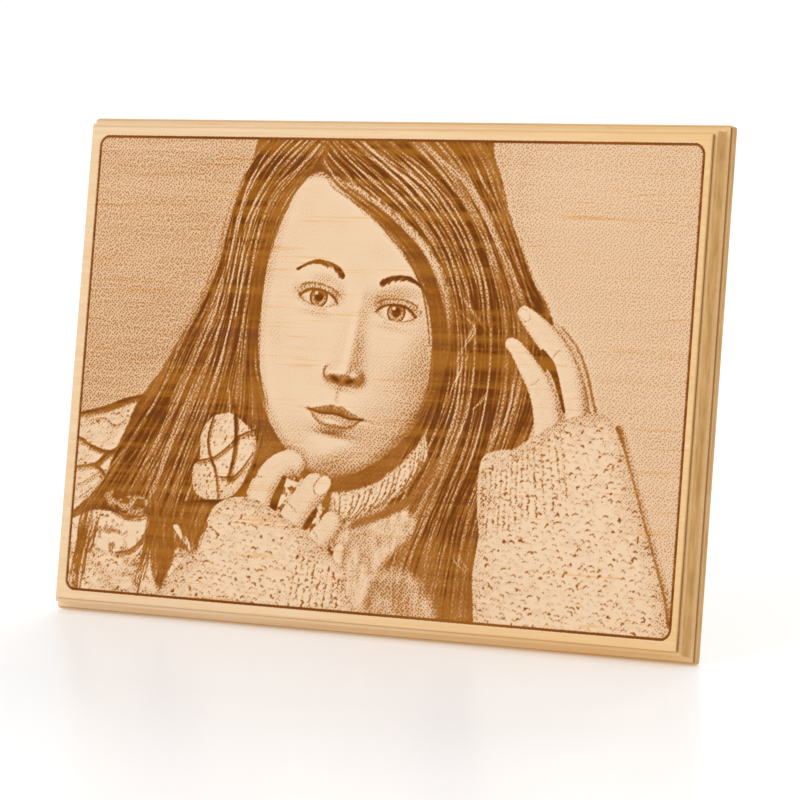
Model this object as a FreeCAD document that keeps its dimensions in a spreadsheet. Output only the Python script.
import FreeCAD, Part
import math
import os
import re
import Sketcher

# A wooden plaque that leans back on a hinged easel strut.
# Lengths are millimetres and angles are degrees. X runs to the right, -Y is the way the
# front faces, and +Z is up. The origin is the middle of the footprint, on the ground.
#
# Three frames lie inside that one:
#   board frame   x right, y into the board from its front face, z up the board from its bottom edge
#   leaf frame    the board frame's directions, with its origin on the hinge axis
#   strut frame   x right, y away from the board, z up the strut, with its origin on the hinge axis

SIZES = (
    ("board_width", 212, "board, left to right"),
    ("board_height", 152, "board, bottom to top"),
    ("board_thick", 10, "board, front to back"),
    ("corner_radius", 1.5, "round of the board's four corners, seen from the front"),
    ("arris_radius", 1, "round along the back edges, on which the board stands"),
    ("lean_angle", 9.4, "how far the board leans back"),
    ("edge_inset", 3.5, "from the board's side to its front face"),
    ("quirk_depth", 1.4, "small square step that starts the edge moulding"),
    ("bead_radius", 1.2, "round that follows the step"),
    ("wall_depth", 2, "straight wall after the round"),
    ("cove_radius", 1.6, "hollow that follows the wall"),
    ("ledge_drop", 0.9, "small square step that ends the moulding, down to a narrow ledge"),
    ("cutter_room", 1.5, "how far each cut runs past the wood"),
    ("border_side", 6.4, "from the board's side to the engraved border line"),
    ("border_end", 6.45, "from the board's top or bottom to the border line"),
    ("border_shift", 0.6, "how far right of the middle the border sits"),
    ("border_line", 0.75, "width of the border line"),
    ("border_depth", 0.35, "depth of the border line"),
    ("border_radius", 3, "round of the border line's corners"),
    ("hanger_width", 40, "keyhole plate, left to right"),
    ("hanger_tall", 20, "keyhole plate, bottom to top"),
    ("hanger_thick", 1.5, "keyhole plate, let in flush with the back"),
    ("hanger_corner", 3, "round of the plate's corners"),
    ("hanger_height", 136, "middle of the plate, up the board"),
    ("entry_radius", 4, "round hole that takes the head of a wall screw"),
    ("entry_drop", 3.5, "from the plate's middle down to the round hole's middle"),
    ("slot_width", 3.6, "slot for the neck of a wall screw"),
    ("slot_rise", 7, "from the round hole's middle up to the slot's end"),
    ("chamber_margin", 0.8, "room round the screw head inside the wood"),
    ("chamber_depth", 6, "room behind the plate for the screw head"),
    ("hanger_screw_reach", 14.5, "from the plate's middle to each of its screws"),
    ("hinge_height", 112, "hinge axis, up the board"),
    ("hinge_stand", 1.7, "hinge axis, out from the board's back"),
    ("hinge_width", 20, "hinge, left to right"),
    ("leaf_thick", 1, "hinge leaf"),
    ("leaf_corner", 1, "round of the leaf's corners"),
    ("leaf_start", 1.8, "from the hinge axis to the leaf's full width"),
    ("leaf_reach", 11, "from the hinge axis to the leaf's far edge"),
    ("knuckle_radius", 1.5, "outside of the hinge barrel"),
    ("knuckle_length", 4, "one knuckle of the barrel"),
    ("knuckle_gap", 0.1, "gap at each side of a moving knuckle"),
    ("pin_radius", 0.8, "hinge pin"),
    ("pin_clearance", 0.05, "running clearance in the moving knuckles"),
    ("pin_length", 20.4, "hinge pin, end to end"),
    ("pin_chamfer", 0.2, "at each end of the pin"),
    ("leaf_screw_reach", 5.8, "from the hinge's middle to each screw, sideways"),
    ("leaf_screw_drop", 6.6, "from the hinge axis to the screws"),
    ("screw_radius", 1.25, "screw shank"),
    ("screw_length", 6, "screw, end to end"),
    ("screw_tip", 1.6, "pointed end of the screw"),
    ("head_radius", 2.2, "flat screw head"),
    ("screw_room", 0.05, "gap round the screw's shank"),
    ("recess_reach", 1.2, "from the screw's middle to the end of one arm of its cross recess"),
    ("recess_half", 0.25, "half the width of one arm"),
    ("recess_depth", 0.7, "depth of the cross recess"),
    ("open_angle", 15.4, "between the board and the strut when the strut stands on its stop"),
    ("strut_inner", 0.5, "from the hinge axis to the strut's face on the board's side"),
    ("strut_thick", 6, "strut, front to back"),
    ("strut_top_half", 16, "half the strut's width at its top"),
    ("strut_foot_half", 24, "half the strut's width at its foot"),
    ("strut_corner", 3, "round of the strut's top corners"),
    ("strut_edge", 0.6, "chamfer round the strut's outer face"),
    ("notch_half", 10.4, "half the width of the notch that clears the hinge barrel"),
    ("notch_drop", 2.2, "how far the notch reaches below the hinge axis"),
    ("ear_rise", 12, "from the hinge axis to the top of the strut's two ears"),
    ("stop_gap", 0.05, "what is left between the ears and the board at the stop"),
)

HINGE_DEPTH = "(board_thick + hinge_stand)"
PROP_ANGLE = "(open_angle - lean_angle)"
OUTER_FACE = "(strut_thick - strut_inner)"
ENTRY_HEIGHT = "(hanger_height - entry_drop)"
LEAF_FACE = "(hinge_stand - leaf_thick)"
HEAD_HEIGHT = "(head_radius - screw_radius)"
BOARD_RISE = (
    "(arris_radius + (board_thick - arris_radius) * sin(lean_angle)"
    " - arris_radius * cos(lean_angle))"
)
HINGE_RISE = f"({BOARD_RISE} + hinge_height * cos(lean_angle) - {HINGE_DEPTH} * sin(lean_angle))"
STRUT_REACH = f"(({HINGE_RISE} + {OUTER_FACE} * sin{PROP_ANGLE}) / cos{PROP_ANGLE})"
FOOT_INNER = f"(({HINGE_RISE} - strut_inner * sin{PROP_ANGLE}) / cos{PROP_ANGLE})"

X_AXIS = FreeCAD.Vector(1, 0, 0)
WHOLE = "ThroughAll"
FULL_TURN = 360
HEAD_BACKWARD = -90
HEAD_FORWARD = 90
COUNTERSINK_ANGLE = 90
SMALLEST_CHANGE = 1e-3
SAME_PLACE = 1e-4

doc = FreeCAD.newDocument("plaque")
sheet = doc.addObject("Spreadsheet::Sheet", "sizes")


# ---------------------------------------------------------------- sheet and expressions

def fill_sheet():
    for row, (alias, amount, note) in enumerate(SIZES, start=1):
        sheet.set(f"A{row}", alias)
        sheet.set(f"B{row}", str(amount))
        sheet.set(f"C{row}", note)
        sheet.setAlias(f"B{row}", alias)
    doc.recompute()


def linked(text):
    """Turn the sheet's aliases in an expression into references to the sheet."""
    return re.sub(r"\b[a-z]+(?:_[a-z]+)+\b", lambda word: "sizes." + word.group(), text)


def amount_of(owner, text):
    return float(owner.evalExpression(linked(text)))


def size_of(text):
    """Work out an expression in the sheet itself, whose own aliases need no reference."""
    return float(sheet.evalExpression(text))


# ---------------------------------------------------------------- sketches

def new_body(label):
    body = doc.addObject("PartDesign::Body", label)
    body.Label = label
    return body


def new_sketch(body, name, role, offset=None):
    """Add a sketch on one of the body's own origin planes, moved along the plane's normal."""
    plane = next(item for item in body.Origin.OriginFeatures if item.Role == role)
    sketch = body.newObject("Sketcher::SketchObject", name)
    sketch.AttachmentSupport = [(plane, "")]
    sketch.MapMode = "FlatFace"
    if offset:
        sketch.setExpression("AttachmentOffset.Base.z", linked(offset))
    return sketch


def dimension(sketch, kind, text, *places):
    """Add a dimension whose value follows the sheet."""
    constraint = Sketcher.Constraint(kind, *places, amount_of(sketch, text))
    index = sketch.addConstraint(constraint)
    sketch.setExpression(f"Constraints[{index}]", linked(text))


def fix_offset(sketch, curve, end, direction, text):
    """Tie one point of a curve to the sketch's origin, along X or along Y."""
    if text == "0":
        axis_line = -2 if direction == "X" else -1
        sketch.addConstraint(Sketcher.Constraint("PointOnObject", curve, end, axis_line))
    else:
        dimension(sketch, "Distance" + direction, text, -1, 1, curve, end)


def fix_point(sketch, curve, end, across, up):
    fix_offset(sketch, curve, end, "X", across)
    fix_offset(sketch, curve, end, "Y", up)


def add_arc(sketch, centre, start, finish, counterclockwise):
    """Add an arc about centre. A sketch stores every arc counterclockwise."""
    first, last = (start, finish) if counterclockwise else (finish, start)
    circle = Part.Circle(centre, FreeCAD.Vector(0, 0, 1), (start - centre).Length)
    low = math.atan2(first.y - centre.y, first.x - centre.x)
    high = math.atan2(last.y - centre.y, last.x - centre.x)
    if high <= low:
        high += 2 * math.pi
    return sketch.addGeometry(Part.ArcOfCircle(circle, low, high), False)


def add_outline(sketch, points, arcs=None):
    """Draw a closed outline of straight and round stretches.

    points are (across, up) expressions. arcs gives, for the stretch that starts at a point's
    index, the arc's centre and whether it runs counterclockwise. An arc's ends leave its centre
    free along one line only, so one offset of the centre fixes it.
    """
    arcs = arcs or {}
    count = len(points)
    places = [FreeCAD.Vector(amount_of(sketch, across), amount_of(sketch, up), 0) for across, up in points]
    ends = []
    for index, place in enumerate(places):
        following = places[(index + 1) % count]
        if index in arcs:
            (across, up), counterclockwise = arcs[index]
            centre = FreeCAD.Vector(amount_of(sketch, across), amount_of(sketch, up), 0)
            curve = add_arc(sketch, centre, place, following, counterclockwise)
            level_chord = abs(following.x - place.x) > abs(following.y - place.y)
            fix_offset(sketch, curve, 3, "Y" if level_chord else "X", up if level_chord else across)
            ends.append((curve, 1, 2) if counterclockwise else (curve, 2, 1))
        else:
            curve = sketch.addGeometry(Part.LineSegment(place, following), False)
            ends.append((curve, 1, 2))
    for index, (curve, start, finish) in enumerate(ends):
        next_curve, next_start, next_finish = ends[(index + 1) % count]
        sketch.addConstraint(Sketcher.Constraint("Coincident", curve, finish, next_curve, next_start))
        fix_point(sketch, curve, start, *points[index])


def add_rounded_rectangle(sketch, left, right, low, high, radius):
    """Draw a rectangle whose four sides lie at given places and whose corners are round."""
    x_low, x_high, z_low, z_high, r = (amount_of(sketch, text) for text in (left, right, low, high, radius))
    vector = FreeCAD.Vector
    sides = (
        (vector(x_low + r, z_low, 0), vector(x_high - r, z_low, 0)),
        (vector(x_high, z_low + r, 0), vector(x_high, z_high - r, 0)),
        (vector(x_high - r, z_high, 0), vector(x_low + r, z_high, 0)),
        (vector(x_low, z_high - r, 0), vector(x_low, z_low + r, 0)),
    )
    centres = (
        vector(x_high - r, z_low + r, 0),
        vector(x_high - r, z_high - r, 0),
        vector(x_low + r, z_high - r, 0),
        vector(x_low + r, z_low + r, 0),
    )
    lines = [sketch.addGeometry(Part.LineSegment(*side), False) for side in sides]
    curves = []
    for index, centre in enumerate(centres):
        start = sides[index][1]
        finish = sides[(index + 1) % 4][0]
        curves.append(add_arc(sketch, centre, start, finish, True))
    for index, kind in enumerate(("Horizontal", "Vertical", "Horizontal", "Vertical")):
        sketch.addConstraint(Sketcher.Constraint(kind, lines[index]))
        sketch.addConstraint(Sketcher.Constraint("Tangent", lines[index], 2, curves[index], 1))
        sketch.addConstraint(Sketcher.Constraint("Tangent", curves[index], 2, lines[(index + 1) % 4], 1))
    for curve in curves[1:]:
        sketch.addConstraint(Sketcher.Constraint("Equal", curves[0], curve))
    dimension(sketch, "Radius", radius, curves[0])
    for line, kind, text in zip(lines, ("DistanceY", "DistanceX", "DistanceY", "DistanceX"),
                                (low, right, high, left)):
        if text == "0":
            sketch.addConstraint(Sketcher.Constraint("PointOnObject", line, 1, -1))
        else:
            dimension(sketch, kind, text, -1, 1, line, 1)


def add_circle(sketch, across, up, radius):
    centre = FreeCAD.Vector(amount_of(sketch, across), amount_of(sketch, up), 0)
    circle = Part.Circle(centre, FreeCAD.Vector(0, 0, 1), amount_of(sketch, radius))
    curve = sketch.addGeometry(circle, False)
    dimension(sketch, "Radius", radius, curve)
    fix_point(sketch, curve, 3, across, up)


# ---------------------------------------------------------------- features

def settle(body, volume_before, adds):
    """Recompute, and stop if the last feature left the body's volume as it was."""
    doc.recompute()
    change = body.Shape.Volume - volume_before
    if (change if adds else -change) < SMALLEST_CHANGE:
        raise RuntimeError(f"{body.Tip.Name} in {body.Label} changed the volume by {change:.4f}")


def volume_of(body):
    return body.Shape.Volume if body.Tip and not body.Shape.isNull() else 0


def extrude(body, kind, sketch, length, flipped=False, symmetric=False):
    before = volume_of(body)
    feature = body.newObject(f"PartDesign::{kind}", f"{sketch.Name}_{kind.lower()}")
    feature.Profile = sketch
    feature.SideType = "Symmetric" if symmetric else "One side"
    feature.Reversed = flipped
    if length == WHOLE:
        feature.Type = WHOLE
    else:
        feature.setExpression("Length", linked(length))
    settle(body, before, kind == "Pad")
    return feature


def pad(body, sketch, length, **options):
    return extrude(body, "Pad", sketch, length, **options)


def pocket(body, sketch, length=WHOLE, **options):
    return extrude(body, "Pocket", sketch, length, **options)


def drill(body, sketch, depth, countersunk, flipped=False):
    """Drill at each circle of the sketch, for the shank of a screw or for its head as well."""
    before = volume_of(body)
    doc.recompute()
    hole = body.newObject("PartDesign::Hole", f"{sketch.Name}_hole")
    hole.Profile = sketch
    doc.recompute()
    hole.Reversed = flipped
    hole.setExpression("Diameter", linked("2 * (screw_radius + screw_room)"))
    if depth == WHOLE:
        hole.DepthType = WHOLE
    else:
        hole.DepthType = "Dimension"
        hole.setExpression("Depth", linked(depth))
    if countersunk:
        hole.HoleCutType = "Countersink"
        hole.HoleCutCustomValues = True
        hole.HoleCutCountersinkAngle = COUNTERSINK_ANGLE
        hole.setExpression("HoleCutDiameter", linked("2 * head_radius"))
    settle(body, before, False)
    return hole


def drill_countersinks(body, name, offset, places, flipped):
    """Drill right through a plate, with each hole's countersink on the sketch's side."""
    holes = new_sketch(body, name, "XZ_Plane", offset)
    for across, up in places:
        add_circle(holes, across, up, "screw_radius")
    drill(body, holes, WHOLE, True, flipped)


def drill_pilots(body, name, offset, places, depth, flipped):
    """Drill blind holes for the shanks of screws."""
    sketch = new_sketch(body, name, "XZ_Plane", offset)
    for across, up in places:
        add_circle(sketch, across, up, "screw_radius + screw_room")
    drill(body, sketch, depth, False, flipped)


def repeat_sideways(body, feature, count, reach):
    """Repeat a feature along X, and make the pattern the body's last feature."""
    before = volume_of(body)
    pattern = body.newObject("PartDesign::LinearPattern", f"{feature.Name}_row")
    pattern.Originals = [feature]
    direction = next(item for item in body.Origin.OriginFeatures if item.Role == "X_Axis")
    pattern.Direction = (direction, [""])
    pattern.Occurrences = count
    pattern.setExpression("Length", linked(reach))
    body.Tip = pattern
    settle(body, before, True)
    return pattern


def soften(body, kind, feature, amount, chosen):
    """Fillet or chamfer the edges of a feature that a test picks out."""
    before = volume_of(body)
    names = [f"Edge{index}" for index, edge in enumerate(feature.Shape.Edges, start=1) if chosen(edge)]
    softened = body.newObject(f"PartDesign::{kind}", f"{feature.Name}_{kind.lower()}")
    softened.Base = (feature, names)
    softened.setExpression("Radius" if kind == "Fillet" else "Size", linked(amount))
    settle(body, before, False)
    return softened


def lies_at(edge, axis, place):
    """True where a whole edge has one coordinate, such as y, at a place."""
    box = edge.BoundBox
    ends = (getattr(box, axis + "Min"), getattr(box, axis + "Max"))
    return all(abs(end - place) < SAME_PLACE for end in ends)


# ---------------------------------------------------------------- placements

def board_frame():
    prop = math.radians(size_of(PROP_ANGLE))
    lean = math.radians(size_of("lean_angle"))
    front = size_of("edge_inset") * math.sin(lean)
    hinge_back = (size_of(HINGE_DEPTH) * math.cos(lean)
                  + size_of("hinge_height") * math.sin(lean))
    back = (hinge_back + size_of(OUTER_FACE) * math.cos(prop)
            + size_of(STRUT_REACH) * math.sin(prop))
    base = FreeCAD.Vector(0, -(front + back) / 2, size_of(BOARD_RISE))
    return FreeCAD.Placement(base, FreeCAD.Rotation(X_AXIS, -size_of("lean_angle")))


def hinge_point():
    depth = size_of(HINGE_DEPTH)
    height = size_of("hinge_height")
    return board_frame().multVec(FreeCAD.Vector(0, depth, height))


def leaf_frame():
    return FreeCAD.Placement(hinge_point(), board_frame().Rotation)


def strut_frame():
    return FreeCAD.Placement(hinge_point(), FreeCAD.Rotation(X_AXIS, size_of(PROP_ANGLE)))


# ---------------------------------------------------------------- board

def edge_cut(sketch, face_edge, outward, depth_first):
    """Outline what the moulding cutter takes from one side of the board.

    face_edge is where the front face ends, outward is + or -, and depth_first says which of
    the sketch's axes runs into the board.
    """
    def point(out, depth):
        away = f"{face_edge} {outward} ({out})"
        return (depth, away) if depth_first else (away, depth)

    bead_end = "quirk_depth + bead_radius"
    wall_end = f"{bead_end} + wall_depth"
    cove_end = f"{wall_end} + cove_radius"
    points = [
        point("0", "-cutter_room"),
        point("0", "quirk_depth"),
        point("bead_radius", bead_end),
        point("bead_radius", wall_end),
        point("bead_radius + cove_radius", cove_end),
        point("bead_radius + cove_radius", f"{cove_end} + ledge_drop"),
        point("edge_inset + cutter_room", f"{cove_end} + ledge_drop"),
        point("edge_inset + cutter_room", "-cutter_room"),
    ]
    bead_turns_left = (outward == "-") == depth_first
    arcs = {
        1: (point("0", bead_end), bead_turns_left),
        3: (point("bead_radius + cove_radius", wall_end), not bead_turns_left),
    }
    add_outline(sketch, points, arcs)


def cut_moulding(body):
    """Run the moulding cutter along all four sides of the front face."""
    upright = new_sketch(body, "moulding_top_and_bottom", "YZ_Plane")
    edge_cut(upright, "board_height - edge_inset", "+", True)
    edge_cut(upright, "edge_inset", "-", True)
    pocket(body, upright, symmetric=True)
    level = new_sketch(body, "moulding_left_and_right", "XY_Plane")
    edge_cut(level, "board_width / 2 - edge_inset", "+", False)
    edge_cut(level, "edge_inset - board_width / 2", "-", False)
    return pocket(body, level, symmetric=True)


def cut_border(body):
    """Engrave the round-cornered line just inside the moulding."""
    sketch = new_sketch(body, "border_line", "XZ_Plane")
    for outward, inward in (("+", "-"), ("-", "+")):
        add_rounded_rectangle(
            sketch,
            f"border_shift - board_width / 2 + border_side {inward} border_line / 2",
            f"border_shift + board_width / 2 - border_side {outward} border_line / 2",
            f"border_end {inward} border_line / 2",
            f"board_height - border_end {outward} border_line / 2",
            f"border_radius {outward} border_line / 2",
        )
    pocket(body, sketch, "border_depth")


def add_hanger_outline(sketch):
    """Draw the keyhole plate's outline, which its seat in the board shares."""
    add_rounded_rectangle(
        sketch, "-hanger_width / 2", "hanger_width / 2",
        "hanger_height - hanger_tall / 2", "hanger_height + hanger_tall / 2", "hanger_corner",
    )


def cut_hanger_seat(body):
    """Let the keyhole plate into the back, with a chamber behind its slot."""
    seat = new_sketch(body, "hanger_seat", "XZ_Plane", "-board_thick")
    add_hanger_outline(seat)
    pocket(body, seat, "hanger_thick", flipped=True)
    chamber = new_sketch(body, "screw_head_chamber", "XZ_Plane", "hanger_thick - board_thick")
    reach = "(entry_radius + chamber_margin)"
    add_rounded_rectangle(
        chamber, f"-{reach}", reach,
        f"{ENTRY_HEIGHT} - {reach}", f"{ENTRY_HEIGHT} + slot_rise + slot_width / 2 + chamber_margin",
        "hanger_corner - chamber_margin",
    )
    pocket(body, chamber, "chamber_depth", flipped=True)


def hanger_screw_places():
    return [(f"{side}hanger_screw_reach", "hanger_height") for side in ("-", "")]


def leaf_screw_places(up):
    return [(f"{side}leaf_screw_reach", up) for side in ("-", "")]


def make_board():
    body = new_body("board")
    outline = new_sketch(body, "outline", "XZ_Plane")
    add_rounded_rectangle(
        outline, "-board_width / 2", "board_width / 2", "0", "board_height", "corner_radius"
    )
    block = pad(body, outline, "board_thick", flipped=True)
    thick = amount_of(body, "board_thick")
    soften(body, "Fillet", block, "arris_radius", lambda edge: lies_at(edge, "Y", thick))
    cut_moulding(body)
    cut_border(body)
    cut_hanger_seat(body)
    drill_pilots(body, "hanger_pilots", "hanger_thick - board_thick", hanger_screw_places(),
                 "screw_length - hanger_thick", True)
    drill_pilots(body, "leaf_pilots", "-board_thick", leaf_screw_places("hinge_height + leaf_screw_drop"),
                 "screw_length - leaf_thick", True)
    body.Placement = board_frame()
    return body


# ---------------------------------------------------------------- keyhole plate

def cut_keyhole(body):
    """Cut the round entry and the slot that rises out of it."""
    sketch = new_sketch(body, "keyhole", "XZ_Plane", "-board_thick")
    half = "slot_width / 2"
    join = f"{ENTRY_HEIGHT} + sqrt(entry_radius * entry_radius - slot_width * slot_width / 4)"
    top = f"{ENTRY_HEIGHT} + slot_rise"
    points = [(f"-{half}", join), (half, join), (half, top), (f"-{half}", top)]
    arcs = {
        0: (("0", ENTRY_HEIGHT), True),
        2: (("0", top), True),
    }
    add_outline(sketch, points, arcs)
    pocket(body, sketch, symmetric=True)


def make_hanger_plate():
    body = new_body("hanger_plate")
    outline = new_sketch(body, "plate_outline", "XZ_Plane", "-board_thick")
    add_hanger_outline(outline)
    pad(body, outline, "hanger_thick")
    cut_keyhole(body)
    drill_countersinks(body, "plate_holes", "-board_thick", hanger_screw_places(), True)
    body.Placement = board_frame()
    return body


# ---------------------------------------------------------------- hinge

def make_leaf(label, plate_offset, plate_low, plate_high, knuckle, bore):
    """Make one hinge leaf, without its holes: a flat plate and a row of knuckles.

    knuckle holds the outline's points and arcs, the first knuckle's place, its length, how many
    there are and the row's reach.
    """
    body = new_body(label)
    plate = new_sketch(body, label + "_plate", "XZ_Plane", plate_offset)
    half = "hinge_width / 2"
    add_rounded_rectangle(plate, f"-{half}", half, plate_low, plate_high, "leaf_corner")
    pad(body, plate, "leaf_thick", flipped=True)
    points, arcs, place, length, count, reach = knuckle
    curl = new_sketch(body, label + "_curl", "YZ_Plane", place)
    add_outline(curl, points, arcs)
    first = pad(body, curl, length, symmetric=True)
    repeat_sideways(body, first, count, reach)
    eye = new_sketch(body, label + "_eye", "YZ_Plane")
    add_circle(eye, "0", "0", bore)
    pocket(body, eye, symmetric=True)
    return body


def make_board_leaf():
    """The fixed leaf lies on the board above the axis and carries the outer and middle knuckles."""
    join = f"sqrt(knuckle_radius * knuckle_radius - {LEAF_FACE} * {LEAF_FACE})"
    points = [
        ("-hinge_stand", "leaf_start + leaf_corner"),
        ("-hinge_stand", "0"),
        ("-knuckle_radius", "0"),
        (f"-{LEAF_FACE}", join),
        (f"-{LEAF_FACE}", "leaf_start + leaf_corner"),
    ]
    arcs = {2: (("0", "0"), True)}
    knuckle = (points, arcs, "-2 * knuckle_length", "knuckle_length", 3, "4 * knuckle_length")
    body = make_leaf("hinge_board_leaf", "hinge_stand", "leaf_start", "leaf_reach", knuckle, "pin_radius")
    drill_countersinks(body, "board_leaf_holes", LEAF_FACE, leaf_screw_places("leaf_screw_drop"), True)
    body.Placement = leaf_frame()
    return body


def make_strut_leaf():
    """The moving leaf lies on the strut below the axis and carries the two knuckles between."""
    join = "-sqrt(knuckle_radius * knuckle_radius - strut_inner * strut_inner)"
    outer = "-(strut_inner + leaf_thick)"
    points = [
        (outer, "-leaf_start - leaf_corner"),
        (outer, "0"),
        ("-strut_inner", join),
        ("-strut_inner", "-leaf_start - leaf_corner"),
    ]
    arcs = {1: (("0", "0"), False)}
    knuckle = (points, arcs, "-knuckle_length", "knuckle_length - 2 * knuckle_gap", 2, "2 * knuckle_length")
    plate_offset = "strut_inner + leaf_thick"
    body = make_leaf("hinge_strut_leaf", plate_offset, "-leaf_reach", "-leaf_start",
                     knuckle, "pin_radius + pin_clearance")
    drill_countersinks(body, "strut_leaf_holes", plate_offset, leaf_screw_places("-leaf_screw_drop"), False)
    body.Placement = strut_frame()
    return body


def make_pin():
    body = new_body("hinge_pin")
    sketch = new_sketch(body, "pin_section", "YZ_Plane")
    add_circle(sketch, "0", "0", "pin_radius")
    rod = pad(body, sketch, "pin_length", symmetric=True)
    half = amount_of(body, "pin_length / 2")
    soften(body, "Chamfer", rod, "pin_chamfer",
           lambda edge: lies_at(edge, "X", half) or lies_at(edge, "X", -half))
    body.Placement = leaf_frame()
    return body


# ---------------------------------------------------------------- screws

def make_screw(label, placement):
    """Make a flat-headed wood screw, its head uppermost in its own frame."""
    body = new_body(label)
    profile = new_sketch(body, label + "_profile", "XZ_Plane")
    add_outline(profile, [
        ("0", "0"),
        ("head_radius", "0"),
        ("screw_radius", f"-{HEAD_HEIGHT}"),
        ("screw_radius", "screw_tip - screw_length"),
        ("0", "-screw_length"),
    ])
    turned = body.newObject("PartDesign::Revolution", label + "_turned")
    turned.Profile = profile
    turned.ReferenceAxis = (profile, ["V_Axis"])
    turned.Angle = FULL_TURN
    settle(body, 0, True)
    cross = new_sketch(body, label + "_cross", "XY_Plane")
    near = "recess_half"
    far = "recess_reach"
    add_outline(cross, [
        (f"-{near}", f"-{far}"), (near, f"-{far}"), (near, f"-{near}"), (far, f"-{near}"),
        (far, near), (near, near), (near, far), (f"-{near}", far),
        (f"-{near}", near), (f"-{far}", near), (f"-{far}", f"-{near}"), (f"-{near}", f"-{near}"),
    ])
    pocket(body, cross, "recess_depth")
    body.Placement = placement
    return body


def screw_placement(frame, across, depth, up, head_turn):
    """Place a screw by its head's middle in a frame, with its head turned from +z about X."""
    local = FreeCAD.Placement(FreeCAD.Vector(across, depth, up), FreeCAD.Rotation(X_AXIS, head_turn))
    return frame.multiply(local)


def make_screws():
    leaf_reach = size_of("leaf_screw_reach")
    leaf_drop = size_of("leaf_screw_drop")
    hanger_reach = size_of("hanger_screw_reach")
    hanger_height = size_of("hanger_height")
    board_back = size_of("board_thick")
    leaf_top = -size_of(LEAF_FACE)
    strut_leaf_top = -size_of("strut_inner + leaf_thick")
    screws = []
    for side, sign in (("left", -1), ("right", 1)):
        screws.append(make_screw(
            f"board_leaf_screw_{side}",
            screw_placement(leaf_frame(), sign * leaf_reach, leaf_top, leaf_drop, HEAD_BACKWARD),
        ))
        screws.append(make_screw(
            f"strut_leaf_screw_{side}",
            screw_placement(strut_frame(), sign * leaf_reach, strut_leaf_top, -leaf_drop, HEAD_FORWARD),
        ))
        screws.append(make_screw(
            f"hanger_screw_{side}",
            screw_placement(board_frame(), sign * hanger_reach, board_back, hanger_height, HEAD_BACKWARD),
        ))
    return screws


# ---------------------------------------------------------------- strut

def cut_strut_ends(body):
    """Bevel the ears, which land flat on the board at the stop, and the foot, which stands flat."""
    sketch = new_sketch(body, "ear_and_foot_bevels", "YZ_Plane")
    ear_plane = "(stop_gap - hinge_stand) / cos(open_angle)"
    ear_start = f"((-strut_inner - cutter_room - {ear_plane}) / tan(open_angle))"
    ear_end = "(ear_rise + cutter_room)"
    add_outline(sketch, [
        ("-strut_inner - cutter_room", ear_start),
        (f"{ear_plane} + {ear_end} * tan(open_angle)", ear_end),
        ("-strut_inner - cutter_room", ear_end),
    ])
    slope = f"tan{PROP_ANGLE}"
    add_outline(sketch, [
        ("-strut_inner - cutter_room", f"-{FOOT_INNER} + cutter_room * {slope}"),
        ("-strut_inner - cutter_room", f"-{STRUT_REACH} - cutter_room"),
        (f"{OUTER_FACE} + cutter_room", f"-{STRUT_REACH} - cutter_room"),
        (f"{OUTER_FACE} + cutter_room", f"-{STRUT_REACH} - cutter_room * {slope}"),
    ])
    return pocket(body, sketch, symmetric=True)


def make_strut():
    body = new_body("strut")
    outline = new_sketch(body, "strut_outline", "XZ_Plane", "strut_inner")
    add_outline(outline, [
        ("-notch_half", "-notch_drop"),
        ("notch_half", "-notch_drop"),
        ("notch_half", "ear_rise"),
        ("strut_top_half", "ear_rise"),
        ("strut_foot_half", f"-{STRUT_REACH}"),
        ("-strut_foot_half", f"-{STRUT_REACH}"),
        ("-strut_top_half", "ear_rise"),
        ("-notch_half", "ear_rise"),
    ])
    blank = pad(body, outline, "strut_thick", flipped=True)
    top_half = amount_of(body, "strut_top_half")
    rounded = soften(
        body, "Fillet", blank, "strut_corner",
        lambda edge: lies_at(edge, "X", top_half) or lies_at(edge, "X", -top_half),
    )
    outer = amount_of(body, OUTER_FACE)
    foot = -amount_of(body, STRUT_REACH)
    soften(body, "Chamfer", rounded, "strut_edge",
           lambda edge: lies_at(edge, "Y", outer) and not lies_at(edge, "Z", foot))
    cut_strut_ends(body)
    drill_pilots(body, "strut_pilots", "strut_inner", leaf_screw_places("-leaf_screw_drop"),
                 "screw_length - leaf_thick", False)
    body.Placement = strut_frame()
    return body


# ---------------------------------------------------------------- checks and files

def check_document():
    failed = [item.Name for item in doc.Objects if {"Invalid", "Error"} & set(item.State)]
    if failed:
        raise RuntimeError("failed objects: " + ", ".join(failed))


def write_parts(bodies):
    os.makedirs("parts", exist_ok=True)
    for body in bodies:
        if body.Shape.isNull() or not body.Shape.isValid():
            raise RuntimeError(f"{body.Label} has no valid shape")
        if len(body.Shape.Solids) != 1:
            raise RuntimeError(f"{body.Label} is {len(body.Shape.Solids)} solids")
    for body in bodies:
        body.Shape.exportStep(f"parts/{body.Label}.step")
        print(f"{body.Label}: {body.Shape.Volume:.1f} mm3")


fill_sheet()
bodies = [make_board(), make_hanger_plate(), make_board_leaf(), make_strut_leaf(), make_pin(), make_strut()]
bodies += make_screws()
doc.recompute()
check_document()
write_parts(bodies)
